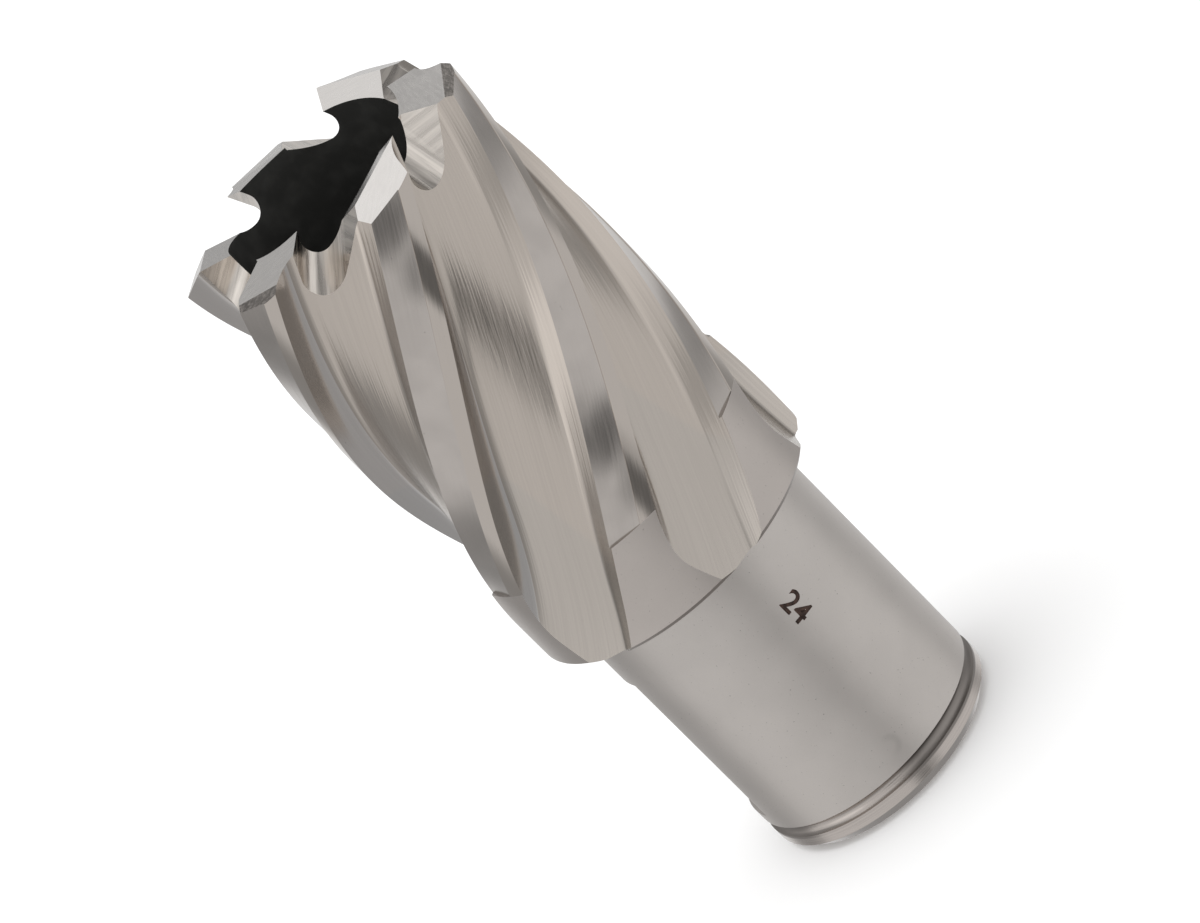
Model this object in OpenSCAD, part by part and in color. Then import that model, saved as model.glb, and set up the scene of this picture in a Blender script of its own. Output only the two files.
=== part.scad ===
// Annular cutter with a clamping shank: one piece of ground tool steel.
// The origin is the centre of the shank's end face. +Z runs along the axis to the teeth, +X lies across the
// front view and +Y points away from it. All lengths are in millimetres, all angles in degrees.

/* [Shank] */
// Shank diameter
shank_d = 19.05; // [18.8:0.05:19.3]
// Shank length from the end face to the shoulder
shank_len = 23.4; // [22:0.2:25]
// Chamfer at the shank's end
end_chamfer = 0.9; // [0.4:0.1:1.2]
// Plain rim between the end chamfer and the ring groove
rim_w = 0.9; // [0.6:0.1:1.3]
// Width of the ring groove
groove_w = 1.05; // [0.8:0.05:1.3]
// Depth of the ring groove
groove_deep = 0.4; // [0.2:0.05:0.5]
// Depth of the two clamping flats below the shank's surface
flat_deep = 1.3; // [0.9:0.1:1.7]
// Length of the clamping flats along the axis
flat_len = 14.4; // [12:0.2:15.6]
// Height of the lower end of the flats above the end face
flat_from = 3.9; // [3.6:0.1:5]
// Direction the first flat faces
flat_dir = 163.7; // [155:0.1:170]
// Diameter of the pilot pin hole through the shank
pilot_d = 6.4; // [6:0.05:7]

/* [Body] */
// Diameter over the cutting corners
cut_d = 24; // [23.6:0.1:24.6]
// Height of the highest tooth tips above the end face
total_h = 62; // [60:0.5:65]
// Edge break at the shoulder
shoulder_break = 0.4; // [0.2:0.05:0.6]
// Diameter of the hollow that takes the core
bore_d = 15.6; // [15:0.1:16]
// Depth of the hollow below the tooth tips
bore_deep = 34; // [32:0.5:36]
// Depth of the cone at the bottom of the hollow
bore_cone = 2; // [1:0.25:3]

/* [Flutes] */
// Helix angle of the flutes at the outside
helix_deg = 30; // [27:0.5:32]
// Width of each land at the outside
land_w = 3.8; // [3.4:0.1:4.2]
// Width of the full-size margin behind each cutting corner
margin_w = 1.2; // [0.9:0.1:1.5]
// Drop of the relieved land next to the margin
relief_start = 0.06; // [0.04:0.01:0.1]
// Drop of the relieved land at its heel
relief_end = 0.2; // [0.14:0.02:0.28]
// Height at which the relieved land stops above the end face
relief_from = 31; // [29:0.5:33]
// Flute depth at the leading wall
flute_deep = 2.05; // [1.85:0.05:2.2]
// Flute depth at the heel wall
heel_deep = 1.4; // [1.25:0.05:1.6]
// Width of the leading wall seen from outside
lead_run = 0.45; // [0.3:0.05:0.6]
// Width of the heel wall seen from outside
heel_run = 1.1; // [0.9:0.05:1.3]
// Rise of the flute floor's crown between the feet of its walls
floor_crown = 0.3; // [0.2:0.05:0.4]
// Round at the foot of the leading wall
root_round = 1.2; // [0.8:0.05:1.4]
// Radius of the arc in which the flutes run out at the collar
runout_r = 29; // [26:1:32]
// Height at which the run-out starts at the leading wall
runout_from = 37.4; // [36.6:0.2:38.2]
// Fall of the run-out's start across the flute, per degree
runout_skew = 0.26; // [0.22:0.01:0.3]

/* [Teeth] */
// Turn of the outer cutting corners at tip height, from +X
edge_dir = -3.7; // [-6:0.1:0]
// Lead of the inner cutting edge over the outer one
inner_lead = 7.5; // [6.5:0.1:8.5]
// Depth of the gullets below the tips at the hollow
gullet_deep = 2.8; // [2.6:0.05:3]
// Fall of the gullet floor towards the outside
gullet_fall = 37; // [34:1:40]
// Corner radius at the gullet's rake side
gullet_r = 1.2; // [1.05:0.05:1.3]
// Radius between gullet floor and back slope
gullet_back_r = 3.5; // [3:0.1:4]
// Slope of the gullet's back
gullet_back = 34; // [31:1:37]
// Distance of the low teeth's inner tips below the highest tips
low_drop = 0.45; // [0.35:0.05:0.6]
// Outward slope of the low teeth
low_slope = 8.5; // [7:0.5:10]
// Relief angle of the low teeth
low_relief = 9; // [8:0.5:10]
// Width of the chamfer at the low teeth's outer corners
corner_w = 0.8; // [0.6:0.05:0.9]
// Direction that chamfer faces, behind the inner cutting edge
corner_back = 20; // [16:0.5:24]
// Slope of that chamfer
corner_slope = 31; // [28:1:38]
// Radius of the ridge on the high teeth
ridge_r = 9.87; // [9.6:0.05:10.1]
// Outward slope of the high teeth
high_out = 24.5; // [22:0.5:27]
// Relief angle of that outward slope
high_out_relief = 17; // [15:0.5:18]
// Inward slope of the high teeth
high_in = 19.4; // [17:0.2:22]
// Relief angle of that inward slope
high_in_relief = 7; // [6:0.5:8]

/* [Hidden] */
$fn = 96;
teeth = 6;
pitch = 360 / teeth;
shank_r = shank_d / 2;
cut_r = cut_d / 2;
bore_r = bore_d / 2;
// amount by which a cutting shape passes beyond the surface it cuts
over = 2;
// turn of the flutes per millimetre of height
twist = tan(helix_deg) / cut_r * 180 / PI;
// height of one layer of the helical cuts
layer = 1.5;
// groove arc through both groove edges and the groove floor
groove_r = (groove_w * groove_w / 4 + groove_deep * groove_deep) / (2 * groove_deep);
groove_z = end_chamfer + rim_w + groove_w / 2;
// flute corners as [radius, angle ahead of the leading edge]
function arc_deg(w, r) = w / r * 180 / PI;
lead_foot = [cut_r - flute_deep, arc_deg(lead_run, cut_r - flute_deep)];
heel_top = pitch - arc_deg(land_w, cut_r);
heel_foot = [cut_r - heel_deep, heel_top - arc_deg(heel_run, cut_r - heel_deep / 2)];
margin_deg = arc_deg(margin_w, cut_r);
// the flute's open side lies this far outside the body
open_r = cut_r + over;
lead_open = -lead_foot[1] * over / flute_deep;
heel_open = heel_top + (heel_top - heel_foot[1]) * over / heel_deep;
// rake plane of the inner cutting edges
rake_z = total_h - over;
rake_dir = edge_dir + inner_lead - twist * over;
rake_lean = tan(helix_deg) * (bore_r + cut_r) / 2 / cut_r;
fall = tan(gullet_fall);
// flank cuts reach from inside the hollow to outside the body
flank_in = bore_r - 3;
flank_out = cut_r + 8;
flank_from = -50;
flank_top = total_h + 8;
function polar(r, a) = [r * cos(a), r * sin(a)];
function mix(p, q, t) = p + t * (q - p);
// leading edge direction of the first tooth at height z
function lead_at(z) = edge_dir + twist * (z - total_h);
// radial lift of a flute where the cut runs out towards the collar
function lift(a, z) =
    let (run = max(0, runout_from - runout_skew * (a - lead_foot[1]) - z) / cos(helix_deg))
    run * run / (2 * runout_r);
// point of a flute section, turned and lifted for height z
function flute_pt(p, z) =
    let (r = norm(p), a = atan2(p[1], p[0]), q = polar(r + lift(a, z), a + lead_at(z)))
    [q[0], q[1], z];
// flute section in the flat, anticlockwise from the open side at the leading edge
foot_a = polar(lead_foot[0], lead_foot[1]);
foot_b = polar(heel_foot[0], heel_foot[1]);
wall_a = polar(open_r, lead_open);
wall_b = polar(open_r, heel_open);
// share of each wall that lies just outside the body's surface
skin = 0.06;
rim_a = (flute_deep + skin) / (flute_deep + over);
rim_b = (heel_deep + skin) / (heel_deep + over);
floor_w = norm(foot_b - foot_a);
floor_out = [foot_b[1] - foot_a[1], foot_a[0] - foot_b[0]] / floor_w;
function floor_pt(t) = mix(foot_a, foot_b, t) + 4 * floor_crown * t * (1 - t) * floor_out;
root_wall = mix(foot_a, wall_a, root_round / norm(wall_a - foot_a));
root_floor = floor_pt(root_round / floor_w);
root_mid = mix(foot_a, (root_wall + root_floor) / 2, 0.5);
flute_section = [
    wall_a,
    wall_b,
    mix(foot_b, wall_b, rim_b),
    foot_b,
    floor_pt(0.75),
    floor_pt(0.5),
    floor_pt(0.25),
    root_floor,
    root_mid,
    root_wall,
    mix(foot_a, wall_a, rim_a)
];
// section of the relieved land behind the margin, anticlockwise from the open side at the land's heel
relief_from_a = heel_top - pitch - 1;
relief_section = [
    polar(cut_r + 1, relief_from_a),
    polar(cut_r + 1, -margin_deg),
    polar(cut_r - relief_start, -margin_deg),
    polar(cut_r - relief_end, relief_from_a)
];
function relief_pt(p, z) = let (q = polar(norm(p), atan2(p[1], p[0]) + lead_at(z))) [q[0], q[1], z];
// faces of a stack of rings with n points each, as a closed shape
function stack_faces(n, rings) = concat(
    [[for (j = [0 : n - 1]) j]],
    [for (i = [0 : rings - 2], j = [0 : n - 1]) [i * n + j, (i + 1) * n + j, (i + 1) * n + (j + 1) % n]],
    [for (i = [0 : rings - 2], j = [0 : n - 1]) [i * n + j, (i + 1) * n + (j + 1) % n, i * n + (j + 1) % n]],
    [[for (j = [n - 1 : -1 : 0]) (rings - 1) * n + j]]
);
function heights(z0, z1) = let (n = ceil((z1 - z0) / layer)) [for (i = [0 : n]) z0 + (z1 - z0) * i / n];
// gullet outline across the rake plane: rake wall, corner, back slope
gullet_floor = total_h - gullet_deep;
gullet_y = gullet_r * (sqrt(1 + rake_lean * rake_lean) + rake_lean) + rake_lean * (gullet_floor - rake_z);
gullet_top = total_h + 8;
rake_turn = 180 - atan(rake_lean);
function arc(y, z, r, a0, a1, n) = [for (i = [0 : n]) [y + r * cos(mix(a0, a1, i / n)), z + r * sin(mix(a0, a1, i / n))]];
gullet_corner = arc(gullet_y, gullet_floor + gullet_r, gullet_r, rake_turn, 270, 7);
gullet_bend = arc(gullet_y, gullet_floor + gullet_back_r, gullet_back_r, 270 + gullet_back / 5, 270 + gullet_back, 4);
gullet_end = gullet_bend[4];
gullet_outline = concat(
    [[rake_lean * (gullet_top - rake_z), gullet_top]],
    gullet_corner,
    gullet_bend,
    [[gullet_end[0] + (gullet_top - gullet_end[1]) / tan(gullet_back), gullet_top]]
);
// the outline slides outwards, down the gullet floor and along the rake plane
function gullet_ring(x) =
    [for (p = gullet_outline) [x, p[0] - (x - bore_r) * fall * rake_lean, p[1] - (x - bore_r) * fall]];

// turned blank: shank with end chamfer, shoulder with edge break, body
module blank() {
    rotate_extrude()
        polygon([
            [0, 0],
            [shank_r - end_chamfer, 0],
            [shank_r, end_chamfer],
            [shank_r, shank_len],
            [cut_r - shoulder_break, shank_len],
            [cut_r, shank_len + shoulder_break],
            [cut_r, total_h + 1],
            [0, total_h + 1]
        ]);
}

module ring_groove() {
    rotate_extrude()
        translate([shank_r + groove_r - groove_deep, groove_z])
            circle(r = groove_r);
}

// two flats a quarter turn apart for the clamping screws
module clamp_flats() {
    for (a = [flat_dir, flat_dir - 90])
        rotate([0, 0, a])
            translate([shank_r - flat_deep, -shank_r, flat_from])
                cube([shank_r, shank_d, flat_len]);
}

// hollow for the core, with a cone at its foot, and the pilot pin hole
module hollow() {
    translate([0, 0, total_h - bore_deep])
        cylinder(r = bore_r, h = bore_deep + over);
    translate([0, 0, total_h - bore_deep - bore_cone])
        cylinder(r1 = pilot_d / 2, r2 = bore_r, h = bore_cone);
    translate([0, 0, -1])
        cylinder(d = pilot_d, h = total_h);
}

module flute() {
    z = heights(shank_len - 1, total_h + over);
    polyhedron(
        points = [for (h = z, p = flute_section) flute_pt(p, h)],
        faces = stack_faces(len(flute_section), len(z))
    );
}

module land_relief() {
    z = heights(relief_from, total_h + over);
    polyhedron(
        points = [for (h = z, p = relief_section) relief_pt(p, h)],
        faces = stack_faces(len(relief_section), len(z))
    );
}

// rounded gullet through the wall in front of an inner cutting edge
module gullet() {
    a = gullet_ring(bore_r - 3.5);
    b = gullet_ring(cut_r + 3);
    n = len(gullet_outline);
    rotate([0, 0, rake_dir])
        polyhedron(points = concat(a, b), faces = stack_faces(n, 2));
}

// everything above a plane through the point p, within one tooth's sector
module flank(p, slope, relief) {
    sector = [
        polar(flank_in, flank_from),
        polar(flank_out, flank_from),
        polar(flank_out, flank_from + pitch),
        polar(flank_in, flank_from + pitch)
    ];
    foot = [for (q = sector) [q[0], q[1], p[2] + tan(slope) * (q[0] - p[0]) + tan(relief) * (q[1] - p[1])]];
    top = [for (q = sector) [q[0], q[1], flank_top]];
    polyhedron(points = concat(foot, top), faces = stack_faces(4, 2));
}

// low tooth: one outward slope and a chamfered outer corner
module low_tooth() {
    tip = [bore_r, 0, total_h - low_drop];
    corner = polar(cut_r - corner_w, -corner_back);
    corner_z = tip[2] - tan(low_slope) * (corner[0] - bore_r) + tan(low_relief) * corner[1];
    steeper = tan(corner_slope) - tan(low_slope);
    flank(tip, -low_slope, low_relief);
    flank(
        [corner[0], corner[1], corner_z],
        -atan(tan(low_slope) + steeper * cos(corner_back)),
        atan(tan(low_relief) + steeper * sin(corner_back))
    );
}

// high tooth: a ridge with an outward and an inward slope
module high_tooth() {
    ridge = [ridge_r, 0, total_h];
    flank(ridge, -high_out, high_out_relief);
    flank(ridge, high_in, high_in_relief);
}

module annular_cutter() {
    color([0.66, 0.64, 0.61])
        difference() {
            blank();
            ring_groove();
            clamp_flats();
            hollow();
            for (k = [0 : teeth - 1])
                rotate([0, 0, k * pitch]) {
                    flute();
                    land_relief();
                    gullet();
                }
            for (k = [0 : 2 : teeth - 1])
                rotate([0, 0, k * pitch])
                    low_tooth();
            for (k = [1 : 2 : teeth - 1])
                rotate([0, 0, k * pitch])
                    high_tooth();
        }
}

annular_cutter();
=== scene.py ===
"""Dresses an annular cutter: fluted body, crown of teeth, plain shank, size number and stage."""

import math

import bmesh
import bpy
from mathutils import Matrix, Vector


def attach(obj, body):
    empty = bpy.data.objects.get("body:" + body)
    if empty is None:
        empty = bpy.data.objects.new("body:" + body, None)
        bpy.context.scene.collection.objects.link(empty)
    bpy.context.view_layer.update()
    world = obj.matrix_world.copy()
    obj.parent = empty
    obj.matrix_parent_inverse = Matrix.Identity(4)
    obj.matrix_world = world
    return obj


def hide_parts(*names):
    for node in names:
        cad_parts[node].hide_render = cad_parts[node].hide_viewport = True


bl_info = {
    "name": "Annular Cutter",
    "version": (1, 0, 0),
    "blender": (4, 5, 0),
    "location": "View3D > Sidebar > Cutter",
    "description": "Builds a hollow hole cutter with helical flutes around its CAD frame",
    "category": "Add Mesh",
}

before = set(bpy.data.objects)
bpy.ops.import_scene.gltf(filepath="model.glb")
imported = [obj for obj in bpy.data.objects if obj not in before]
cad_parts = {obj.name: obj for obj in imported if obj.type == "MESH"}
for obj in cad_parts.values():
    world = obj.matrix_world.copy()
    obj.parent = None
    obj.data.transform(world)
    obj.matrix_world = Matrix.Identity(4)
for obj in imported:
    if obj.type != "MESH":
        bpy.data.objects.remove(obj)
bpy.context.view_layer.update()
CAD_NODE = "annular_cutter"
BODY = "root"
MM = 0.001
TEETH = 6
PITCH = 360.0 / TEETH
# shapes that cut pass this far beyond the surface that they cut, and this far above the tips
OVER = 3 * MM
ABOVE = 8 * MM
# the blank is turned this much higher than the tips
BLANK_OVER = 1 * MM
# points closer than this are one point, and a point this close to a plane lies on it
MERGE = 0.0005 * MM
ON_PLANE = 1e-9
# edges that bend more than this, in degrees, are drawn sharp
SHARP_FROM = 24
# distances between the rings of the body's grid
FLUTE_STEP, RUNOUT_STEP, BREAK_STEP = 0.55 * MM, 0.4 * MM, 0.1 * MM
SHANK_STEP, HOLLOW_STEP = 2.6 * MM, 2.5 * MM
GROOVE_STEPS = 12


def length(name, description, value):
    """A property that holds a length, given in millimetres."""
    return bpy.props.FloatProperty(
        name=name, description=description, default=value * MM, unit="LENGTH"
    )


def angle(name, description, value):
    """A property that holds an angle, given in degrees."""
    return bpy.props.FloatProperty(
        name=name, description=description, default=math.radians(value), subtype="ANGLE"
    )


def colour(name, description, value):
    """A property that holds a linear colour."""
    return bpy.props.FloatVectorProperty(
        name=name, description=description, default=value, size=3, min=0, max=1, subtype="COLOR"
    )


class CutterSizes(bpy.types.PropertyGroup):
    """Sizes of the cutter, the same as those of its solid"""

    shank_d: length("Shank diameter", "Diameter of the plain clamping shank", 19.05)
    shank_len: length("Shank length", "Height of the shoulder above the end face", 23.4)
    end_chamfer: length("End chamfer", "Chamfer at the shank's end", 0.9)
    rim_w: length("Rim width", "Plain rim between the end chamfer and the ring groove", 0.9)
    groove_w: length("Groove width", "Width of the ring groove", 1.05)
    groove_deep: length("Groove depth", "Depth of the ring groove", 0.4)
    flat_deep: length("Flat depth", "Depth of the clamping flats below the shank's surface", 1.3)
    flat_len: length("Flat length", "Length of the clamping flats along the axis", 14.4)
    flat_from: length("Flat start", "Height of the lower end of the flats", 3.9)
    flat_dir: angle("Flat direction", "Direction that the first flat faces", 163.7)
    pilot_d: length("Pilot hole", "Diameter of the pilot pin hole through the shank", 6.4)
    cut_d: length("Cutting diameter", "Diameter over the cutting corners", 24.0)
    total_h: length("Tip height", "Height of the highest tooth tips above the end face", 62.0)
    shoulder_break: length("Shoulder break", "Edge break at the shoulder", 0.4)
    bore_d: length("Hollow diameter", "Diameter of the hollow that takes the core", 15.6)
    bore_deep: length("Hollow depth", "Depth of the hollow below the tips", 34.0)
    bore_cone: length("Hollow cone", "Depth of the cone at the foot of the hollow", 2.0)
    helix: angle("Helix", "Helix angle of the flutes at the outside", 30.0)
    land_w: length("Land width", "Width of each land at the outside", 3.8)
    margin_w: length("Margin width", "Width of the full-size margin behind each corner", 1.2)
    relief_start: length("Relief start", "Drop of the relieved land next to the margin", 0.06)
    relief_end: length("Relief end", "Drop of the relieved land at its heel", 0.2)
    relief_from: length("Relief foot", "Height at which the relieved land stops", 31.0)
    flute_deep: length("Flute depth", "Flute depth at the leading wall", 2.05)
    heel_deep: length("Heel depth", "Flute depth at the heel wall", 1.4)
    lead_run: length("Leading wall", "Width of the leading wall seen from outside", 0.45)
    heel_run: length("Heel wall", "Width of the heel wall seen from outside", 1.1)
    floor_crown: length("Floor crown", "Rise of the flute floor between the feet of its walls", 0.3)
    root_round: length("Root round", "Round at the foot of the leading wall", 1.2)
    heel_round: length("Heel round", "Round at the foot of the heel wall", 0.3)
    runout_r: length("Run-out radius", "Radius of the arc in which the flutes run out", 29.0)
    runout_from: length("Run-out start", "Height at which it starts at the leading wall", 37.4)
    runout_skew: length("Run-out skew", "Fall of that start per degree across the flute", 0.26)


class ToothSizes(bpy.types.PropertyGroup):
    """Sizes of the teeth and of the gullets between them"""

    edge_dir: angle("Edge direction", "Turn of the outer cutting corners at tip height", -3.7)
    inner_lead: angle("Inner lead", "Lead of the inner cutting edge over the outer one", 7.5)
    gullet_deep: length("Gullet depth", "Depth of the gullets below the tips at the hollow", 2.8)
    gullet_fall: angle("Gullet fall", "Fall of the gullet floor towards the outside", 37.0)
    gullet_r: length("Gullet corner", "Corner radius at the gullet's rake side", 1.2)
    gullet_back_r: length("Gullet bend", "Radius between gullet floor and back slope", 3.5)
    gullet_back: angle("Gullet back", "Slope of the gullet's back", 34.0)
    low_drop: length("Low tooth drop", "Drop of their inner tips below the highest tips", 0.45)
    low_slope: angle("Low tooth slope", "Outward slope of the low teeth", 8.5)
    low_relief: angle("Low tooth relief", "Relief angle of the low teeth", 9.0)
    corner_w: length("Corner chamfer", "Width of the chamfer at the low teeth's outer corners", 0.8)
    corner_back: angle("Corner direction", "Direction it faces, behind the inner edge", 20.0)
    corner_slope: angle("Corner slope", "Slope of that chamfer", 31.0)
    ridge_r: length("Ridge radius", "Radius of the ridge on the high teeth", 9.87)
    high_out: angle("Outer slope", "Outward slope of the high teeth", 24.5)
    high_out_relief: angle("Outer relief", "Relief angle of the outward slope", 17.0)
    high_in: angle("Inner slope", "Inward slope of the high teeth", 19.4)
    high_in_relief: angle("Inner relief", "Relief angle of the inward slope", 7.0)


class CutterFinish(bpy.types.PropertyGroup):
    """Colours of the steel's finishes"""

    shank: colour("Shank", "Satin turned and ground shank", (0.57, 0.535, 0.507))
    rim: colour("Rim", "Turned groove, rim and end of the shank", (0.50, 0.457, 0.426))
    collar: colour("Collar", "Unrelieved collar above the shoulder", (0.505, 0.464, 0.435))
    land: colour("Land", "Relieved lands", (0.475, 0.44, 0.412))
    margin: colour("Margin", "Finely ground margins", (0.478, 0.436, 0.399))
    flute: colour("Flute", "Milled flutes", (0.488, 0.441, 0.397))
    wall: colour("Wall", "Leading walls of the flutes", (0.68, 0.645, 0.62))
    gullet: colour("Gullet", "Milled gullets", (0.70, 0.652, 0.603))
    flank: colour("Flank", "Ground tooth flanks", (0.70, 0.675, 0.652))
    corner: colour("Corner", "Coarsely ground tooth corners", (0.25, 0.23, 0.214))
    hollow: colour("Hollow", "Blackened wall of the hollow", (0.028, 0.0277, 0.0259))
    number: colour("Number", "Burnt-in size number", (0.035, 0.02, 0.015))


class NumberSettings(bpy.types.PropertyGroup):
    """The plain size number on the shank"""

    digits: bpy.props.StringProperty(
        name="Digits", description="Plain number on the shank", default="24"
    )
    height: length("Height", "Height of the digits", 1.6)
    bold: length("Bold", "Growth of the strokes to each side", 0.04)
    thick: length("Thickness", "Thickness of the digits", 0.06)
    stands_out: length("Stands out", "Height of the digits above the shank's surface", 0.01)
    start: length("Start", "Height above the end face at which the number starts", 18.2)
    turn: angle("Turn", "Direction of the number's middle", 286.0)


class StudioSettings(bpy.types.PropertyGroup):
    """Floor and light of the studio"""

    floor: colour("Floor", "Pale floor", (0.95, 0.95, 0.95))
    key_power: bpy.props.FloatProperty(
        name="Key light",
        description="Power of the large lamp overhead",
        default=1.2,
        min=0,
        unit="POWER",
    )


def polar(r, degrees):
    """Point at radius r in that direction."""
    return Vector((r * math.cos(math.radians(degrees)), r * math.sin(math.radians(degrees))))


def arc_degrees(width, r):
    """Angle that an arc of that width spans at radius r."""
    return math.degrees(width / r)


def bend(a, corner, b, steps):
    """Points of a round from a to b that has its control point at the corner."""
    points = []
    for i in range(steps + 1):
        t = i / steps
        points.append((1 - t) ** 2 * a + 2 * t * (1 - t) * corner + t ** 2 * b)
    return points


def crown_point(a, b, rise):
    """Control point of a round from a to b that stands out by that rise."""
    way = (b - a).normalized()
    return a.lerp(b, 0.5) + 2 * rise * Vector((way.y, -way.x))


def straight(a, b, steps):
    """Points of the line from a to b."""
    return [a.lerp(b, i / steps) for i in range(steps + 1)]


def opening(radii, limit):
    """First place along the radii that lies inside the limit, as a fractional index."""
    for i in range(1, len(radii)):
        if radii[i] < limit:
            step = radii[i - 1] - radii[i]
            if step > 0 and radii[i - 1] > limit:
                return i - (limit - radii[i]) / step
            return i - 1.0
    return len(radii) - 1.0


class FluteForm:
    """Where flutes and lands lie: a flat section, turned along the helix and lifted at its end."""

    WALL_STEPS, ROOT_STEPS, FLOOR_STEPS, HEEL_STEPS = 4, 10, 20, 4
    RELIEF_STEPS, MARGIN_STEPS = 5, 10
    # both walls reach this far past the outside, where they are cut to it
    WALL_REACH = 0.1 * MM
    # degrees between the end of the relieved strip and the margin
    MARGIN_GAP = 0.08

    def __init__(self, sizes, teeth):
        s = self.s = sizes
        self.cut_r = s.cut_d / 2
        self.twist = math.degrees(math.tan(s.helix) / self.cut_r)
        self.edge_dir = math.degrees(teeth.edge_dir)
        lead_foot_r = self.cut_r - s.flute_deep
        heel_foot_r = self.cut_r - s.heel_deep
        self.lead_foot_a = arc_degrees(s.lead_run, lead_foot_r)
        heel_top = PITCH - arc_degrees(s.land_w, self.cut_r)
        heel_run_a = arc_degrees(s.heel_run, self.cut_r - s.heel_deep / 2)
        self.margin_from = PITCH - arc_degrees(s.margin_w, self.cut_r)
        foot_a = polar(lead_foot_r, self.lead_foot_a)
        foot_b = polar(heel_foot_r, heel_top - heel_run_a)
        reach = self.WALL_REACH
        top_a = polar(self.cut_r + reach, -self.lead_foot_a * reach / s.flute_deep)
        top_b = polar(self.cut_r + reach, heel_top + heel_run_a * reach / s.heel_deep)
        root_wall = foot_a.lerp(top_a, s.root_round / (top_a - foot_a).length)
        crown = crown_point(foot_a, foot_b, s.floor_crown)
        floor = bend(foot_a, crown, foot_b, self.FLOOR_STEPS)
        floor = [p for p in floor if (p - foot_a).length > s.root_round]
        floor = [p for p in floor if (p - foot_b).length > s.heel_round]
        root_floor, heel_floor = floor[0], floor[-1]
        heel_wall = foot_b.lerp(top_b, s.heel_round / (top_b - foot_b).length)
        profile = straight(top_a, root_wall, self.WALL_STEPS)
        profile += bend(root_wall, foot_a, root_floor, self.ROOT_STEPS)[1:]
        profile += floor[1:]
        profile += bend(heel_floor, foot_b, heel_wall, self.HEEL_STEPS)[1:]
        profile += straight(heel_wall, top_b, self.WALL_STEPS)[1:]
        self.profile = [(p.length, math.degrees(math.atan2(p.y, p.x))) for p in profile]
        self.flute_columns = len(profile)
        self.columns = self.flute_columns + self.RELIEF_STEPS + self.MARGIN_STEPS

    def lead_at(self, z):
        """Direction of the first tooth's leading edge at height z."""
        return self.edge_dir + self.twist * (z - self.s.total_h)

    def lift(self, a, z):
        """Rise of the flute towards the outside where its cut runs out."""
        start = self.s.runout_from - self.s.runout_skew * (a - self.lead_foot_a)
        run = max(0.0, start - z) / math.cos(self.s.helix)
        return run * run / (2 * self.s.runout_r)

    def blank_r(self, z):
        """Radius of the turned body with its edge break at the shoulder."""
        return min(self.cut_r, self.cut_r - self.s.shoulder_break + z - self.s.shank_len)

    def pitch_ring(self, z):
        """(radius, angle) of one pitch's columns at height z: leading edge, flute, then land."""
        s = self.s
        blank = self.blank_r(z)
        relieved = z > s.relief_from
        heel_limit = self.cut_r - s.relief_end if relieved else blank
        radii = [r + self.lift(a, z) for r, a in self.profile]
        first = opening(radii, blank)
        last = len(radii) - 1 - opening(radii[::-1], heel_limit)
        last = max(first, last)
        ring = []
        for i in range(self.flute_columns):
            t = min(max(i, first), last)
            k = min(int(t), self.flute_columns - 2)
            f = t - k
            a = self.profile[k][1] * (1 - f) + self.profile[k + 1][1] * f
            ring.append((radii[k] * (1 - f) + radii[k + 1] * f, a))
        heel_a, next_lead = ring[-1][1], PITCH + ring[0][1]
        heel = polar(self.cut_r - s.relief_end, heel_a)
        margin = polar(self.cut_r - s.relief_start, self.margin_from)
        for i in range(1, self.RELIEF_STEPS + 1):
            p = heel.lerp(margin, i / self.RELIEF_STEPS)
            ring.append((p.length if relieved else blank, math.degrees(math.atan2(p.y, p.x))))
        start = self.margin_from + self.MARGIN_GAP
        for i in range(self.MARGIN_STEPS):
            ring.append((blank, start + i / self.MARGIN_STEPS * (next_lead - start)))
        return ring

    def ring(self, z):
        """Points of all columns round the body at height z."""
        one = self.pitch_ring(z)
        turn = self.lead_at(z)
        points = []
        for k in range(TEETH):
            for r, a in one:
                p = polar(r, a + turn + k * PITCH)
                points.append(Vector((p.x, p.y, z)))
        return points


def levels(start, end, step):
    """Heights from start to end in equal steps of about that size."""
    n = max(1, math.ceil(abs(end - start) / step - 1e-9))
    return [start + (end - start) * i / n for i in range(n + 1)]


# the body's finishes, in the order of its material slots
FINISHES = (
    "shank",
    "rim",
    "collar",
    "land",
    "margin",
    "flute",
    "wall",
    "gullet",
    "flank",
    "corner",
    "hollow",
)


class CUTTER_OT_body(bpy.types.Operator):
    """Builds the cutter's body: shank, fluted body, hollow, gullets and teeth"""

    bl_idname = "cutter.body"
    bl_label = "Cutter Body"
    bl_options = {"REGISTER", "UNDO"}

    def execute(self, context):
        sizes, teeth = context.scene.cutter_sizes, context.scene.cutter_teeth
        form = FluteForm(sizes, teeth)
        body = new_piece("cutter_body", turned_and_fluted(sizes, form))
        for finish in FINISHES:
            body.data.materials.append(finish_material(finish, context.scene.cutter_finish, form))
        cut_away(body, "flats", flats_mesh(sizes))
        cut_away(body, "gullets", gullets_mesh(sizes, teeth, form))
        cut_away(body, "flanks", flanks_mesh(sizes, teeth, form))
        body.data.shade_smooth()
        body.data.set_sharp_from_angle(angle=math.radians(SHARP_FROM))
        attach(body, BODY)
        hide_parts(CAD_NODE)
        return {"FINISHED"}


def new_piece(name, bm):
    """An object at the origin with the mesh of bm."""
    mesh = bpy.data.meshes.new(name)
    bm.to_mesh(mesh)
    bm.free()
    piece = bpy.data.objects.new(name, mesh)
    bpy.context.scene.collection.objects.link(piece)
    return piece


def fluted_rows(start, end, step):
    """Rings that follow the flutes."""
    return [("fluted", z, 0) for z in levels(start, end, step)]


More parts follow.
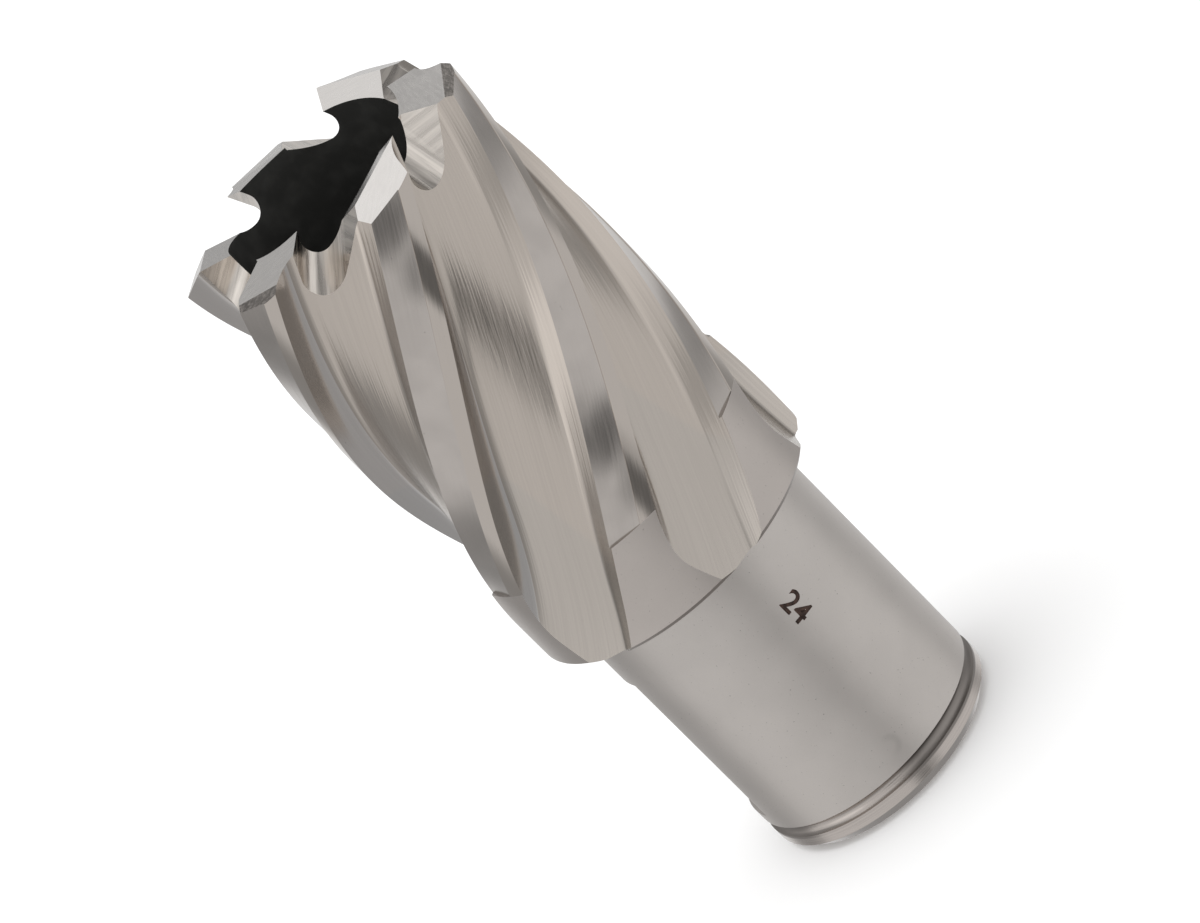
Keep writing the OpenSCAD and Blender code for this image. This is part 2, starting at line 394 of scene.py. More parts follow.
def turned_rows(s):
    """Rings of the closed surface: down flutes, shoulder and shank, and up pilot hole and hollow.
    Each is (kind, height, radius), where a fluted ring takes its radii from the form."""
    top = s.total_h + BLANK_OVER
    # the foot of the relief is a step between two rings that lie this near to it
    near = 0.004 * MM
    break_top = s.shank_len + s.shoulder_break
    rows = fluted_rows(top, s.relief_from + near, FLUTE_STEP)
    rows += fluted_rows(s.relief_from - near, break_top, RUNOUT_STEP)
    rows += fluted_rows(break_top, s.shank_len, BREAK_STEP)[1:]
    shank_r = s.shank_d / 2
    rim_top = s.end_chamfer + s.rim_w
    rows += [("shank", z, shank_r) for z in levels(s.shank_len, rim_top + s.groove_w, SHANK_STEP)]
    groove_r = (s.groove_w ** 2 / 4 + s.groove_deep ** 2) / (2 * s.groove_deep)
    groove_x = shank_r + groove_r - s.groove_deep
    groove_z = rim_top + s.groove_w / 2
    half = math.asin(s.groove_w / 2 / groove_r)
    for i in range(1, GROOVE_STEPS):
        t = half * (1 - 2 * i / GROOVE_STEPS)
        rows.append(("shank", groove_z + groove_r * math.sin(t), groove_x - groove_r * math.cos(t)))
    rows.append(("shank", rim_top, shank_r))
    rows += [("shank", s.end_chamfer, shank_r), ("shank", 0, shank_r - s.end_chamfer)]
    pilot_r, bore_r = s.pilot_d / 2, s.bore_d / 2
    cone_top = s.total_h - s.bore_deep
    rows += [("hollow", 0, pilot_r), ("hollow", cone_top - s.bore_cone, pilot_r)]
    rows += [("hollow", z, bore_r) for z in levels(cone_top, top, HOLLOW_STEP)]
    return rows


def turned_and_fluted(s, form):
    """The body before it is cut: one grid, wrapped round the axis and closed."""
    rows = turned_rows(s)
    columns = form.columns * TEETH
    bm = bmesh.new()
    bmesh.ops.create_grid(bm, x_segments=columns, y_segments=len(rows), size=1)
    cell = {}
    for v in bm.verts:
        cell[v] = (round((v.co.x + 1) / 2 * columns), round((v.co.y + 1) / 2 * len(rows)))
    for face in bm.faces:
        column = min(cell[v][0] for v in face.verts)
        row = min(cell[v][1] for v in face.verts)
        face.material_index = FINISHES.index(region(form, rows, column, row))
        face.smooth = True
    places = [ring_points(form, s, row) for row in rows]
    for v, (column, row) in cell.items():
        v.co = places[row % len(rows)][column % columns]
    bmesh.ops.remove_doubles(bm, verts=bm.verts, dist=MERGE)
    bmesh.ops.dissolve_degenerate(bm, edges=bm.edges, dist=MERGE)
    bmesh.ops.recalc_face_normals(bm, faces=bm.faces)
    return bm


def ring_points(form, s, row):
    """Points of all columns on that ring."""
    kind, z, r = row
    if kind == "fluted":
        return form.ring(z)
    # plain rings keep the columns' directions at the shoulder; the hollow turns with the flutes
    guide = s.shank_len if kind == "shank" else max(z, s.shank_len)
    return [Vector((*(p.to_2d().normalized() * r), z)) for p in form.ring(guide)]


def region(form, rows, column, row):
    """Finish of the grid's face at that column and row."""
    kind, z, _ = rows[row]
    if row == len(rows) - 1 or kind == "hollow":
        return "hollow"
    if kind == "shank" or rows[row + 1][0] == "shank":
        s = form.s
        groove_top = s.end_chamfer + s.rim_w + s.groove_w
        return "rim" if z < groove_top + 0.05 * s.groove_w else "shank"
    place = column % form.columns
    if place < form.WALL_STEPS + form.ROOT_STEPS // 2:
        return "wall"
    if place < form.flute_columns - 1:
        return "flute"
    if z < form.s.relief_from:
        return "collar"
    return "land" if place < form.flute_columns + form.RELIEF_STEPS - 1 else "margin"


def cut_away(body, name, bm):
    """Subtracts the shapes in bm from the body; the new faces keep the shapes' finishes."""
    bmesh.ops.recalc_face_normals(bm, faces=bm.faces)
    tool = new_piece(name, bm)
    for material in body.data.materials:
        tool.data.materials.append(material)
    cut = body.modifiers.new(name, "BOOLEAN")
    cut.object = tool
    cut.operation = "DIFFERENCE"
    cut.solver = "MANIFOLD"
    bpy.context.view_layer.update()
    graph = bpy.context.evaluated_depsgraph_get()
    result = bpy.data.meshes.new_from_object(body.evaluated_get(graph))
    if len(result.polygons) < len(body.data.polygons) // 2:
        raise RuntimeError(f"cutting the {name} left too little of the body")
    old = body.data
    body.modifiers.remove(cut)
    body.data = result
    bpy.data.objects.remove(tool)
    bpy.data.meshes.remove(old)
    result.name = body.name


def linked(verts, kind):
    """The link_edges or link_faces of the points, each once, always in the same order."""
    return list(dict.fromkeys(item for v in verts for item in getattr(v, kind)))


def add_prism(bm, outline, move, finish):
    """Closed prism over the outline, extruded along move."""
    base = bm.faces.new([bm.verts.new(p) for p in outline])
    made = bmesh.ops.extrude_face_region(bm, geom=[base], use_keep_orig=True)["geom"]
    moved = [v for v in made if isinstance(v, bmesh.types.BMVert)]
    bmesh.ops.translate(bm, verts=moved, vec=move)
    foot = list(base.verts)
    for face in linked(foot + moved, "link_faces"):
        face.material_index = FINISHES.index(finish)
    return foot, moved


def turn_about_axis(bm, verts, degrees):
    """Turns the points about the cutter's axis."""
    turn = Matrix.Rotation(math.radians(degrees), 3, "Z")
    bmesh.ops.rotate(bm, cent=(0, 0, 0), matrix=turn, verts=verts)


def flats_mesh(s):
    """Two blocks a quarter turn apart that leave the clamping flats."""
    bm = bmesh.new()
    side_room = 0.3 * MM
    x0, x1, z = s.shank_d / 2 - s.flat_deep, s.shank_d / 2 + OVER, s.flat_from
    y = math.sqrt((s.shank_d / 2) ** 2 - x0 ** 2) + side_room
    outline = [(x0, -y, z), (x1, -y, z), (x1, y, z), (x0, y, z)]
    for quarter in (0, 90):
        low, high = add_prism(bm, outline, (0, 0, s.flat_len), "shank")
        turn_about_axis(bm, low + high, math.degrees(s.flat_dir) - quarter)
    return bm


def circle_points(y, z, r, start, end, steps):
    """Points of an arc about (y, z), with its angles in degrees."""
    points = []
    for i in range(steps + 1):
        a = math.radians(start + (end - start) * i / steps)
        points.append((y + r * math.cos(a), z + r * math.sin(a)))
    return points


# the gullets' rake side lies on the inner cutting edge this far below the tips
RAKE_DROP = 2 * MM
# the gullets start this far inside the wall of the hollow
GULLET_INSIDE = 1.2 * MM
ROUND_STEPS, BACK_STEPS = 16, 12


def gullets_mesh(s, t, form):
    """Rounded troughs through the wall in front of the inner cutting edges."""
    bore_r = s.bore_d / 2
    rake_z = s.total_h - RAKE_DROP
    lean = math.tan(s.helix) * (bore_r + form.cut_r) / 2 / form.cut_r
    floor_z = s.total_h - t.gullet_deep
    top = s.total_h + ABOVE
    fall = math.tan(t.gullet_fall)
    back = math.degrees(t.gullet_back)
    y = t.gullet_r * (math.sqrt(1 + lean * lean) + lean) + lean * (floor_z - rake_z)
    rake_turn = 180 - math.degrees(math.atan(lean))
    r, back_r = t.gullet_r, t.gullet_back_r
    outline = [(lean * (top - rake_z), top)]
    outline += circle_points(y, floor_z + r, r, rake_turn, 270, ROUND_STEPS)
    outline += circle_points(y, floor_z + back_r, back_r, 270, 270 + back, BACK_STEPS)[1:]
    outline.append((outline[-1][0] + (top - outline[-1][1]) / math.tan(t.gullet_back), top))
    x = bore_r - GULLET_INSIDE
    drop = (x - bore_r) * fall
    start = [(x, p - drop * lean, q - drop) for p, q in outline]
    reach = form.cut_r + OVER - x
    rake_dir = math.degrees(t.edge_dir + t.inner_lead) - form.twist * RAKE_DROP
    bm = bmesh.new()
    for k in range(TEETH):
        ends = add_prism(bm, start, (reach, -reach * fall * lean, -reach * fall), "gullet")
        turn_about_axis(bm, ends[0] + ends[1], rake_dir + k * PITCH)
    return bm


def flanks_mesh(s, t, form):
    """For each tooth, everything above its two flank planes, which meet in a ridge."""
    bm = bmesh.new()
    low_out, low_back = -math.tan(t.low_slope), math.tan(t.low_relief)
    middle = -math.degrees(t.corner_back)
    steeper = polar(math.tan(t.corner_slope) + low_out, middle)
    corner = polar(form.cut_r - t.corner_w, middle).to_3d()
    corner.z = s.total_h - t.low_drop + low_out * (corner.x - s.bore_d / 2) + low_back * corner.y
    ridge = Vector((t.ridge_r, 0, s.total_h))
    low_in = (low_out, low_back, "flank")
    low = (corner, low_in, (low_out - steeper.x, low_back - steeper.y, "corner"))
    high_in = (math.tan(t.high_in), math.tan(t.high_in_relief), "flank")
    high = (ridge, high_in, (-math.tan(t.high_out), math.tan(t.high_out_relief), "flank"))
    for k in range(TEETH):
        point, inner, outer = high if k % 2 else low
        add_flank(bm, point, inner, outer, s, form, k * PITCH)
    return bm


# each tooth's flanks are cut in a sector that starts at this angle behind its edge and ends
# just short of the next one, in degrees
FLANK_FROM, FLANK_GAP = -50, 0.1


def add_flank(bm, point, inner, outer, s, form, turn):
    """Block above two planes through the point; each is (outward slope, slope ahead, finish)."""

    def height(v, plane):
        outward, ahead, _ = plane
        return point.z + outward * (v.co.x - point.x) + ahead * (v.co.y - point.y)

    sector = [(s.bore_d / 2 - OVER, FLANK_FROM), (form.cut_r + ABOVE, FLANK_FROM)]
    sector += [(r, a + PITCH - FLANK_GAP) for r, a in reversed(sector)]
    outline = [(*polar(r, a), 0) for r, a in sector]
    low, high = add_prism(bm, outline, (0, 0, s.total_h + ABOVE), "flank")
    fall = Vector((inner[0] - outer[0], inner[1] - outer[1], 0))
    verts = low + high
    geom = verts + linked(verts, "link_edges") + linked(verts, "link_faces")
    made = bmesh.ops.bisect_plane(
        bm, geom=geom, plane_co=point, plane_no=fall.normalized(), dist=ON_PLANE
    )
    cut = [v for v in made["geom_cut"] if isinstance(v, bmesh.types.BMVert)]
    verts = list(dict.fromkeys(verts + cut))
    for v in verts:
        if v.co.z < s.total_h / 2:
            v.co.z = min(height(v, inner), height(v, outer))
    for face in linked(verts, "link_faces"):
        on_inner = (face.calc_center_median() - point).dot(fall) < 0
        face.material_index = FINISHES.index(inner[2] if on_inner else outer[2])
    turn_about_axis(bm, verts, turn)


class CUTTER_OT_size_number(bpy.types.Operator):
    """Marks the plain size number on the shank"""

    bl_idname = "cutter.size_number"
    bl_label = "Size Number"
    bl_options = {"REGISTER", "UNDO"}

    def execute(self, context):
        scene = context.scene
        number = new_piece("size_number", number_mesh(scene.cutter_sizes, scene.cutter_number))
        number.data.materials.append(finish_material("number", scene.cutter_finish, None))
        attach(number, BODY)
        return {"FINISHED"}


# a digit's height as a share of its font's size, and the width of the strips in which it is bent
DIGIT_SHARE = 0.7
DIGIT_STEP = 0.2 * MM


def number_mesh(s, mark):
    """Thin digits, bent round the shank and sunk into it; they read towards the shank's end."""
    text = bpy.data.curves.new("size_number", "FONT")
    text.body = mark.digits
    text.size = mark.height / DIGIT_SHARE
    text.offset = mark.bold
    holder = bpy.data.objects.new("size_number_text", text)
    bpy.context.scene.collection.objects.link(holder)
    bpy.context.view_layer.update()
    graph = bpy.context.evaluated_depsgraph_get()
    flat = bpy.data.meshes.new_from_object(holder.evaluated_get(graph))
    bpy.data.objects.remove(holder)
    bpy.data.curves.remove(text)
    if not flat.polygons:
        raise RuntimeError("the size number has no faces")
    bm = bmesh.new()
    bm.from_mesh(flat)
    bpy.data.meshes.remove(flat)
    bmesh.ops.remove_doubles(bm, verts=bm.verts, dist=MERGE)
    for y in levels(0, mark.height, DIGIT_STEP)[1:-1]:
        geom = bm.verts[:] + bm.edges[:] + bm.faces[:]
        bmesh.ops.bisect_plane(
            bm, geom=geom, plane_co=(0, y, 0), plane_no=(0, 1, 0), dist=ON_PLANE
        )
    made = bmesh.ops.extrude_face_region(bm, geom=bm.faces[:], use_keep_orig=True)["geom"]
    foot = [v for v in made if isinstance(v, bmesh.types.BMVert)]
    bmesh.ops.translate(bm, verts=foot, vec=(0, 0, -mark.thick))
    r = s.shank_d / 2 + mark.stands_out
    for v in bm.verts:
        turn = math.degrees(mark.turn) + arc_degrees(v.co.y - mark.height / 2, r)
        p = polar(r + v.co.z, turn)
        v.co = (p.x, p.y, mark.start - v.co.x)
    bmesh.ops.recalc_face_normals(bm, faces=bm.faces)
    return bm


class Nodes:
    """Short calls that add and link the nodes of one tree."""

    def __init__(self, tree):
        self.tree = tree
        tree.nodes.clear()

    def add(self, kind, inputs=(), **settings):
        node = self.tree.nodes.new(kind)
        for key, value in settings.items():
            setattr(node, key, value)
        for key, value in dict(inputs).items():
            if isinstance(value, bpy.types.NodeSocket):
                self.tree.links.new(value, node.inputs[key])
            else:
                node.inputs[key].default_value = value
        return node

    def math(self, operation, a, b=0.0):
        return self.add("ShaderNodeMath", {0: a, 1: b}, operation=operation).outputs[0]

    def vector(self, operation, a, b=(0, 0, 0)):
        return self.add("ShaderNodeVectorMath", {0: a, 1: b}, operation=operation).outputs[0]

    def measure(self, operation, a, b):
        """A single value from two vectors."""
        node = self.add("ShaderNodeVectorMath", {0: a, 1: b}, operation=operation)
        return node.outputs["Value"]

    def scale(self, vector, factor):
        inputs = {0: vector, "Scale": factor}
        return self.add("ShaderNodeVectorMath", inputs, operation="SCALE").outputs[0]

    def turn(self, vector, angle):
        """The vector turned about the cutter's axis."""
        inputs = {"Vector": vector, "Angle": angle}
        return self.add("ShaderNodeVectorRotate", inputs, rotation_type="Z_AXIS").outputs[0]

    def split(self, vector):
        return self.add("ShaderNodeSeparateXYZ", {0: vector}).outputs

    def join(self, x=0.0, y=0.0, z=0.0):
        return self.add("ShaderNodeCombineXYZ", {0: x, 1: y, 2: z}).outputs[0]

    def noise(self, vector, scale, detail=2.0, rough=0.5):
        inputs = {"Vector": vector, "Scale": scale, "Detail": detail, "Roughness": rough}
        return self.add("ShaderNodeTexNoise", inputs).outputs["Fac"]

    def remap(self, value, low, high, to_low, to_high):
        """A soft step from to_low to to_high as the value goes from low to high."""
        inputs = {"Value": value, 1: low, 2: high, 3: to_low, 4: to_high}
        node = self.add("ShaderNodeMapRange", inputs, interpolation_type="SMOOTHSTEP")
        return node.outputs["Result"]

    def spread(self, noise, to_low=0, to_high=1):
        """The middle of a noise's values, spread from to_low to to_high."""
        return self.remap(noise, 0.3, 0.7, to_low, to_high)

    def mix(self, factor, a, b):
        """A colour between a and b."""
        return self.add("ShaderNodeMix", {0: factor, 6: a, 7: b}, data_type="RGBA").outputs[2]

    def between(self, factor, a, b):
        """A value between a and b."""
        return self.add("ShaderNodeMix", {0: factor, 2: a, 3: b}).outputs[0]


def rgba(value, gain=1.0):
    """The colour, lighter or darker by that gain."""
    return (*[min(1.0, c * gain) for c in value], 1.0)


def finish_material(finish, colours, form):
    """Steel with that finish."""
    material = bpy.data.materials.new("cutter_" + finish)
    material.use_nodes = True
    n = Nodes(material.node_tree)
    place = n.scale(n.add("ShaderNodeTexCoord").outputs["Object"], 1 / MM)
    shade = FINISH_SHADERS[finish](n, place, getattr(colours, finish), form)
    n.add("ShaderNodeOutputMaterial", {"Surface": shade})
    return material


# all marks on the steel are set out in millimetres; a bump of full strength is this deep
BUMP_DEEP = 0.05 * MM
# middle and radius of a faint round stain near the shank's end
SHANK_STAIN, STAIN_R = (0.33, -9.52, 4.6), 0.7
# how far the painted shade in the ring groove reaches down onto the rim
GROOVE_SHADE_BELOW = 0.2
# height below which the flutes' floors look greyer, at the leading edge, and the grey's tint
RUNOUT_SEEN, RUNOUT_TINT = 40.4, (0.965, 0.982, 0.995)
# directions of the middles of the first gullet and of the first tooth, in degrees
GULLET_DIR, TOOTH_DIR = 15, -20
# how far a gullet's trough turns aside and falls for each step outwards, and how far the level
# marks on its back turn
TROUGH_ASIDE, TROUGH_FALL, LEVEL_ASIDE = 0.36, 0.754, 0.758
# where the trough's round gives way to its back, across the trough
BACK_FROM, BACK_FULL = 5.4, 6.4


def steel(n, base, rough, bump=None, strength=0.1):
    """Bare metal with that colour and roughness."""
    inputs = {"Base Color": base, "Metallic": 1.0, "Roughness": rough}
    if bump is not None:
        marks = {"Height": bump, "Strength": strength, "Distance": BUMP_DEEP}
        inputs["Normal"] = n.add("ShaderNodeBump", marks).outputs[0]
    return n.add("ShaderNodeBsdfPrincipled", inputs).outputs[0]


def dull(n, base, rough, shine):
    """A dark film that hides the metal."""
    inputs = {"Base Color": base, "Metallic": 0.0, "Roughness": rough, "Specular IOR Level": shine}
    return n.add("ShaderNodeBsdfPrincipled", inputs).outputs[0]


def untwisted(n, place, form):
    """The place turned back along the helix and brought to one radius, so that what follows a
    flute runs straight up."""
    x, y, z = n.split(place)
    around = n.vector("NORMALIZE", n.join(x, y))
    turned_back = n.turn(around, n.math("MULTIPLY", z, -math.radians(form.twist * MM)))
    return n.vector("ADD", n.scale(turned_back, form.cut_r / MM), n.join(z=z))


def tooth_place(n, place, middle):
    """The place turned into the first tooth's sector, which has its middle in that direction."""
    x, y, _ = n.split(place)
    ahead = n.math("SUBTRACT", n.math("ARCTAN2", y, x), math.radians(middle))
    sector = n.math("ROUND", n.math("DIVIDE", ahead, math.radians(PITCH)))
    return n.turn(place, n.math("MULTIPLY", sector, -math.radians(PITCH)))


def drawn_noise(n, place, finer, detail=2.0, rough=0.5):
    """Noise that is finer by those factors along the three axes, so that it draws out in lines."""
    return n.noise(n.vector("MULTIPLY", place, finer), 1.0, detail, rough)


def shaded(n, noise, base, low, high):
    """The colour, varied with a noise between two gains."""
    return n.mix(n.spread(noise), rgba(base, low), rgba(base, high))


def pits(n, place, scale, limit):
    """Nought in small scattered pits, one elsewhere; a lower limit leaves fewer of them."""
    return n.remap(n.noise(place, scale, 2.0, 0.6), limit, limit + 0.05, 0.0, 1.0)


def satin(n, place, base, form, rough=0.42):
    """Fine even grain with faint clouds and specks, and part of a ring-shaped stain."""
    from_ring = n.math("SUBTRACT", n.measure("DISTANCE", place, SHANK_STAIN), STAIN_R)
    on_ring = n.remap(n.math("ABSOLUTE", from_ring), 0.05, 0.4, 0.3, 0.0)
    stain = n.math("MULTIPLY", on_ring, n.remap(n.split(place)[0], 0.0, 0.9, 0.0, 1.0))
    grain = drawn_noise(n, place, (7, 7, 12))
    tone = shaded(n, n.noise(place, 0.22, 3.0), base, 0.975, 1.025)
    tone = n.mix(pits(n, place, 6.5, 0.25), rgba(base, 0.5), tone)
    tone = n.mix(stain, tone, rgba(base, 0.7))
    return steel(n, tone, n.spread(grain, rough - 0.03, rough + 0.03), grain, 0.1)


def collar_satin(n, place, base, form):
    """The shank's grain, ground a little brighter."""
    return satin(n, place, base, form, 0.34)


def turned(n, place, base, form):
    """Turning rings, and painted shade in the groove and just below it, darker and duller, that is
    thin over part of its round.
    """
    rings = drawn_noise(n, place, (0.2, 0.2, 9))
    x, _, z = n.split(place)
    foot = (form.s.end_chamfer + form.s.rim_w) / MM - GROOVE_SHADE_BELOW
    in_groove = n.remap(z, foot - 0.05, foot + 0.05, 0, 1)
    ends = n.math("MAXIMUM", n.remap(x, -1.5, 1.5, 0.1, 1), n.remap(x, -8.2, -7.2, 0.8, 0))
    # painted shade: the ring groove and a strip below it are drawn at half brightness and dull,
    # fading out towards one side
    groove_shade = n.math("MULTIPLY", in_groove, ends)
    tone = n.mix(groove_shade, shaded(n, rings, base, 0.95, 1.05), rgba(base, 0.5))
    rough = n.between(groove_shade, n.spread(rings, 0.16, 0.24), 0.42)
    return steel(n, tone, rough, rings, 0.08)


def ground(n, place, base, form):
    """Grinding lines along the lands, with faint clouds and specks."""
    lines = drawn_noise(n, untwisted(n, place, form), (5, 5, 0.2), 3.0)
    tone = shaded(n, n.noise(place, 0.3, 2.0), base, 0.95, 1.05)
    tone = n.mix(pits(n, place, 3.5, 0.2), rgba(base, 0.5), tone)
    return steel(n, tone, n.spread(lines, 0.16, 0.22), lines, 0.05)


def polished(n, place, base, form):
    """Fine lines along the margins, nearly a mirror."""
    lines = drawn_noise(n, untwisted(n, place, form), (6, 6, 0.5))
    tone = n.mix(pits(n, place, 5.0, 0.22), rgba(base, 0.75), rgba(base))
    return steel(n, tone, n.spread(lines, 0.08, 0.13), lines, 0.04)


def runs_out(n, straight_place, form):
    """One where a flute's floor runs out, nought above; the limit slants across the flute."""
    x, y, z = n.split(straight_place)
    ahead = n.math("SUBTRACT", n.math("ARCTAN2", y, x), math.radians(form.lead_at(0)))
    inputs = {0: ahead, 1: math.radians(PITCH), 2: 0.0}
    across = n.add("ShaderNodeMath", inputs, operation="WRAP").outputs[0]
    skew = math.degrees(form.s.runout_skew / MM)
    above = n.math("ADD", z, n.math("MULTIPLY", across, skew))
    return n.remap(above, RUNOUT_SEEN - 0.4, RUNOUT_SEEN + 0.4, 1.0, 0.0)


def milled(n, place, base, form, marks=0.8):
    """Broad and fine milling lines along the flutes, greyer where these run out."""
    straight_place = untwisted(n, place, form)
    broad = drawn_noise(n, straight_place, (1.2, 1.2, 0.04))
    lines = drawn_noise(n, straight_place, (7, 7, 0.06))
    both = n.math("ADD", n.math("MULTIPLY", broad, 0.5), n.math("MULTIPLY", lines, 0.5))
    tone = shaded(n, lines, base, 0.98, 1.02)
    grey = n.vector("MULTIPLY", tone, RUNOUT_TINT)
    tone = n.mix(runs_out(n, straight_place, form), tone, grey)
    tone = n.mix(pits(n, place, 3.5, 0.19), rgba(base, 0.5), tone)
    return steel(n, tone, n.spread(broad, 0.17, 0.23), both, marks)


def wall_milled(n, place, base, form):
    """The flutes' lines, shallower."""
    return milled(n, place, base, form, 0.15)


def gullet_milled(n, place, base, form):
    """Marks along the trough in its round, and level ones on its back slope."""
    x, y, z = n.split(tooth_place(n, place, GULLET_DIR))
    outward = n.math("MULTIPLY", x, 0.1)
    across = n.math("ADD", y, n.math("MULTIPLY", x, TROUGH_ASIDE))
    down = n.math("ADD", z, n.math("MULTIPLY", x, TROUGH_FALL))
    along_level = n.math("SUBTRACT", y, n.math("MULTIPLY", x, LEVEL_ASIDE))
    in_round = n.noise(n.join(outward, across, down), 2.6, 2.0)
    on_back = n.noise(n.join(outward, along_level, z), 2.0, 3.0, 0.6)
    lines = n.between(n.remap(across, BACK_FROM, BACK_FULL, 0.0, 1.0), in_round, on_back)
    tone = shaded(n, lines, base, 0.72, 1.08)
    return steel(n, tone, n.spread(lines, 0.25, 0.35), lines, 0.4)


def flank_ground(n, place, base, form):
    """Flat grinding with a few dents."""
    dents = n.remap(n.noise(place, 2.6, 1.0), 0.16, 0.2, 0.0, 1.0)
    lines = drawn_noise(n, tooth_place(n, place, TOOTH_DIR), (5, 0.9, 2))
    tone = n.mix(dents, rgba(base, 0.45), shaded(n, lines, base, 0.97, 1.03))
    return steel(n, tone, n.spread(lines, 0.22, 0.28))


def corner_ground(n, place, base, form):
    """Coarse light scratches on dark steel."""
    lines = drawn_noise(n, tooth_place(n, place, TOOTH_DIR), (9, 1.2, 9), 3.0, 0.6)
    tone = n.mix(n.remap(lines, 0.42, 0.66, 0, 1), rgba(base, 0.75), rgba(base, 1.7))
    return steel(n, tone, n.spread(lines, 0.3, 0.45), lines, 0.3)


def blackened(n, place, base, form):
    """A black film with faint clouds."""
    cloud = n.noise(place, 0.7, 4.0)
    tone = n.mix(n.remap(cloud, 0.35, 0.75, 0, 1), rgba(base, 0.9), rgba(base, 1.4))
    return dull(n, tone, n.spread(cloud, 0.5, 0.65), 0.15)


def burnt(n, place, base, form):
    """The brown-black of a burnt-in mark."""
    cloud = n.noise(place, 2.5, 3.0)
    tone = n.mix(n.remap(cloud, 0.35, 0.7, 0, 1), rgba(base, 0.7), rgba(base, 1.8))
    return dull(n, tone, n.spread(cloud, 0.55, 0.7), 0.2)


FINISH_SHADERS = {
    "shank": satin,
    "rim": turned,
    "collar": collar_satin,
    "land": ground,
    "margin": polished,
    "flute": milled,
    "wall": wall_milled,
    "gullet": gullet_milled,
    "flank": flank_ground,
    "corner": corner_ground,
    "hollow": blackened,
    "number": burnt,
}


class CUTTER_OT_stage(bpy.types.Operator):
    """Sets up the floor, the light and the camera"""

    bl_idname = "cutter.stage"
    bl_label = "Studio Stage"
    bl_options = {"REGISTER", "UNDO"}

    def execute(self, context):
        studio = context.scene.cutter_studio
        context.scene.view_settings.view_transform = "Standard"
        add_floor(studio)
        add_tent(context.scene)
        add_key_lamp(studio)
        add_camera(context.scene)
        return {"FINISHED"}


FLOOR_HALF = 3.0


def add_floor(studio):
    """A pale paper floor that polished metal doesn't show."""
    bm = bmesh.new()
    bmesh.ops.create_grid(bm, x_segments=8, y_segments=8, size=FLOOR_HALF)
    floor = new_piece("floor", bm)
    material = bpy.data.materials.new("floor")
    material.use_nodes = True
    n = Nodes(material.node_tree)
    grain = n.noise(n.add("ShaderNodeTexCoord").outputs["Object"], 90.0, 3.0)
    tone = n.mix(grain, rgba(studio.floor, 0.995), rgba(studio.floor, 1.005))
    paper = n.add("ShaderNodeBsdfDiffuse", {"Color": tone}).outputs[0]
    n.add("ShaderNodeOutputMaterial", {"Surface": paper})
    floor.data.materials.append(material)
    floor.visible_glossy = False


# brightness of the light tent for all but polished metal
ROOM_LEVEL = 1.08
# brightness of the light tent where no panel or flag stands, as polished metal shows it
TENT_LEVEL = 0.86
# soft panels and flags of the tent: azimuth and elevation seen from the cutter, half width at the
# rim and at the core, all in degrees, and brightness
TENT_PANELS = (
    (100, 85, 45, 20, 1.06),
    (90, 27, 38, 14, 0.5),
    (203, 15, 27, 9, 1.25),
    (325, 22, 35, 10, 1.05),
    (262, 26, 18, 6, 0.58),
    (145, -14, 30, 10, 0.4),
    (120, 6, 24, 9, 0.34),
    (15, 53, 22, 10, 0.13),
    (148, 44, 25, 10, 0.34),
    (230, 70, 16, 6, 0.45),
    (288, 56, 22, 9, 0.28),
    (42, 11, 24, 10, 0.26),
    (86, 8, 17, 10, 0.42),
    (180, -88, 60, 40, 0.4),
    (25, -12, 25, 6, 0.44),
    (256, -8, 12, 5, 0.36),
    (288, -34, 14, 5, 0.42),
    (277, -18, 13, 6, 0.2),
)


def add_tent(scene):
    """White all round, with soft panels and flags that only polished metal shows."""
    world = bpy.data.worlds.new("light_tent")
    world.use_nodes = True
    scene.world = world
    n = Nodes(world.node_tree)
    way = n.add("ShaderNodeTexCoord").outputs["Generated"]
    level = TENT_LEVEL
    for azimuth, elevation, rim, core, brightness in TENT_PANELS:
        flat = polar(math.cos(math.radians(elevation)), azimuth)
        middle = Vector((flat.x, flat.y, math.sin(math.radians(elevation))))
        near = n.measure("DOT_PRODUCT", way, middle)
        inside = n.remap(near, math.cos(math.radians(rim)), math.cos(math.radians(core)), 0, 1)
        level = n.between(inside, level, brightness)
    glossy = n.add("ShaderNodeLightPath").outputs["Is Glossy Ray"]
    strength = n.between(glossy, ROOM_LEVEL, level)
    light = n.add("ShaderNodeBackground", {"Color": (1, 1, 1, 1), "Strength": strength})
    n.add("ShaderNodeOutputWorld", {"Surface": light.outputs[0]})


LAMP_PLACE, LAMP_AIM, LAMP_SIZE = (-0.15, 0.1, 0.7), (0, 0, 0.03), 0.5


def add_key_lamp(studio):
    """A large round lamp overhead that polished metal doesn't show."""
    lamp = bpy.data.lights.new("key_lamp", "AREA")
    lamp.shape = "DISK"
    lamp.size = LAMP_SIZE
    lamp.energy = studio.key_power
    holder = bpy.data.objects.new("key_lamp", lamp)
    bpy.context.scene.collection.objects.link(holder)
    holder.location = LAMP_PLACE
    aim = Vector(LAMP_AIM) - holder.location
    holder.rotation_euler = aim.to_track_quat("-Z", "Y").to_euler()
    holder.visible_glossy = False


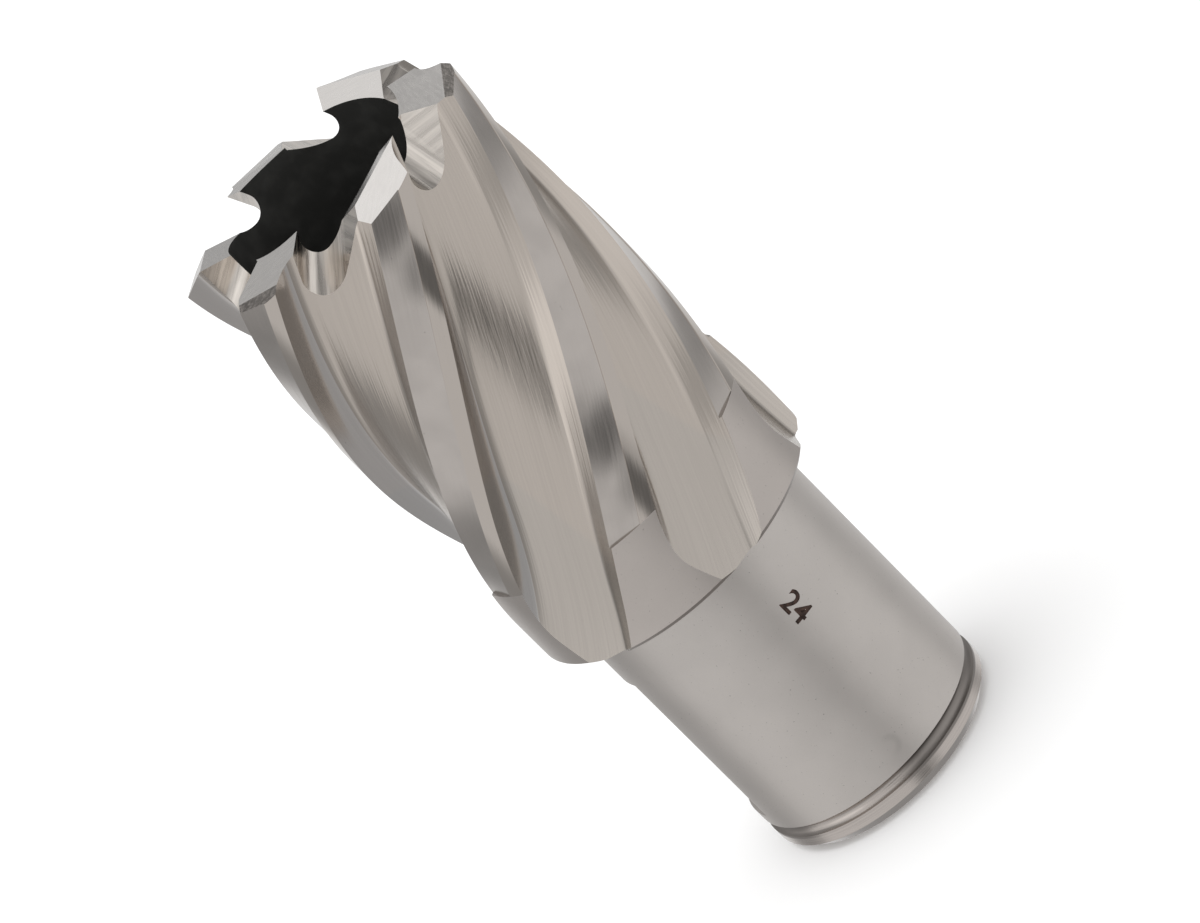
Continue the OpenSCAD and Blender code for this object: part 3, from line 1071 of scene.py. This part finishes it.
# the camera's place in millimetres, its three axes, and its lens and sensor
CAMERA_PLACE = (0.07, -469.23, 232.58)
CAMERA_RIGHT = (0.70830, -0.27837, -0.64871)
CAMERA_UP = (0.70591, 0.27931, 0.65091)
CAMERA_BACK = (0, -0.91897, 0.39434)
LENS, SENSOR = 221.2, 36


def add_camera(scene):
    """A long lens that looks along +Y from above, rolled so that the cutter lies aslant."""
    camera = bpy.data.cameras.new("camera")
    camera.sensor_fit = "HORIZONTAL"
    camera.sensor_width = SENSOR
    camera.lens = LENS
    camera.clip_start = 0.01
    camera.clip_end = 20
    holder = bpy.data.objects.new("camera", camera)
    scene.collection.objects.link(holder)
    turn = Matrix((CAMERA_RIGHT, CAMERA_UP, CAMERA_BACK)).transposed().to_4x4()
    holder.matrix_world = Matrix.Translation(Vector(CAMERA_PLACE) * MM) @ turn
    scene.camera = holder


class CUTTER_PT_panel(bpy.types.Panel):
    """Lists the steps that build the cutter and its studio"""

    bl_label = "Annular Cutter"
    bl_idname = "CUTTER_PT_panel"
    bl_space_type = "VIEW_3D"
    bl_region_type = "UI"
    bl_category = "Cutter"

    def draw(self, context):
        for operator in OPERATORS:
            self.layout.operator(operator.bl_idname)


OPERATORS = (CUTTER_OT_body, CUTTER_OT_size_number, CUTTER_OT_stage)
SETTINGS = {
    "cutter_sizes": CutterSizes,
    "cutter_teeth": ToothSizes,
    "cutter_finish": CutterFinish,
    "cutter_number": NumberSettings,
    "cutter_studio": StudioSettings,
}
CLASSES = (*SETTINGS.values(), *OPERATORS, CUTTER_PT_panel)


def register():
    for cls in CLASSES:
        bpy.utils.register_class(cls)
    for name, group in SETTINGS.items():
        setattr(bpy.types.Scene, name, bpy.props.PointerProperty(type=group))


def unregister():
    for name in SETTINGS:
        delattr(bpy.types.Scene, name)
    for cls in reversed(CLASSES):
        bpy.utils.unregister_class(cls)


def main():
    register()
    bpy.ops.cutter.body()
    bpy.ops.cutter.size_number()
    bpy.ops.cutter.stage()


if __name__ == "__main__":
    main()
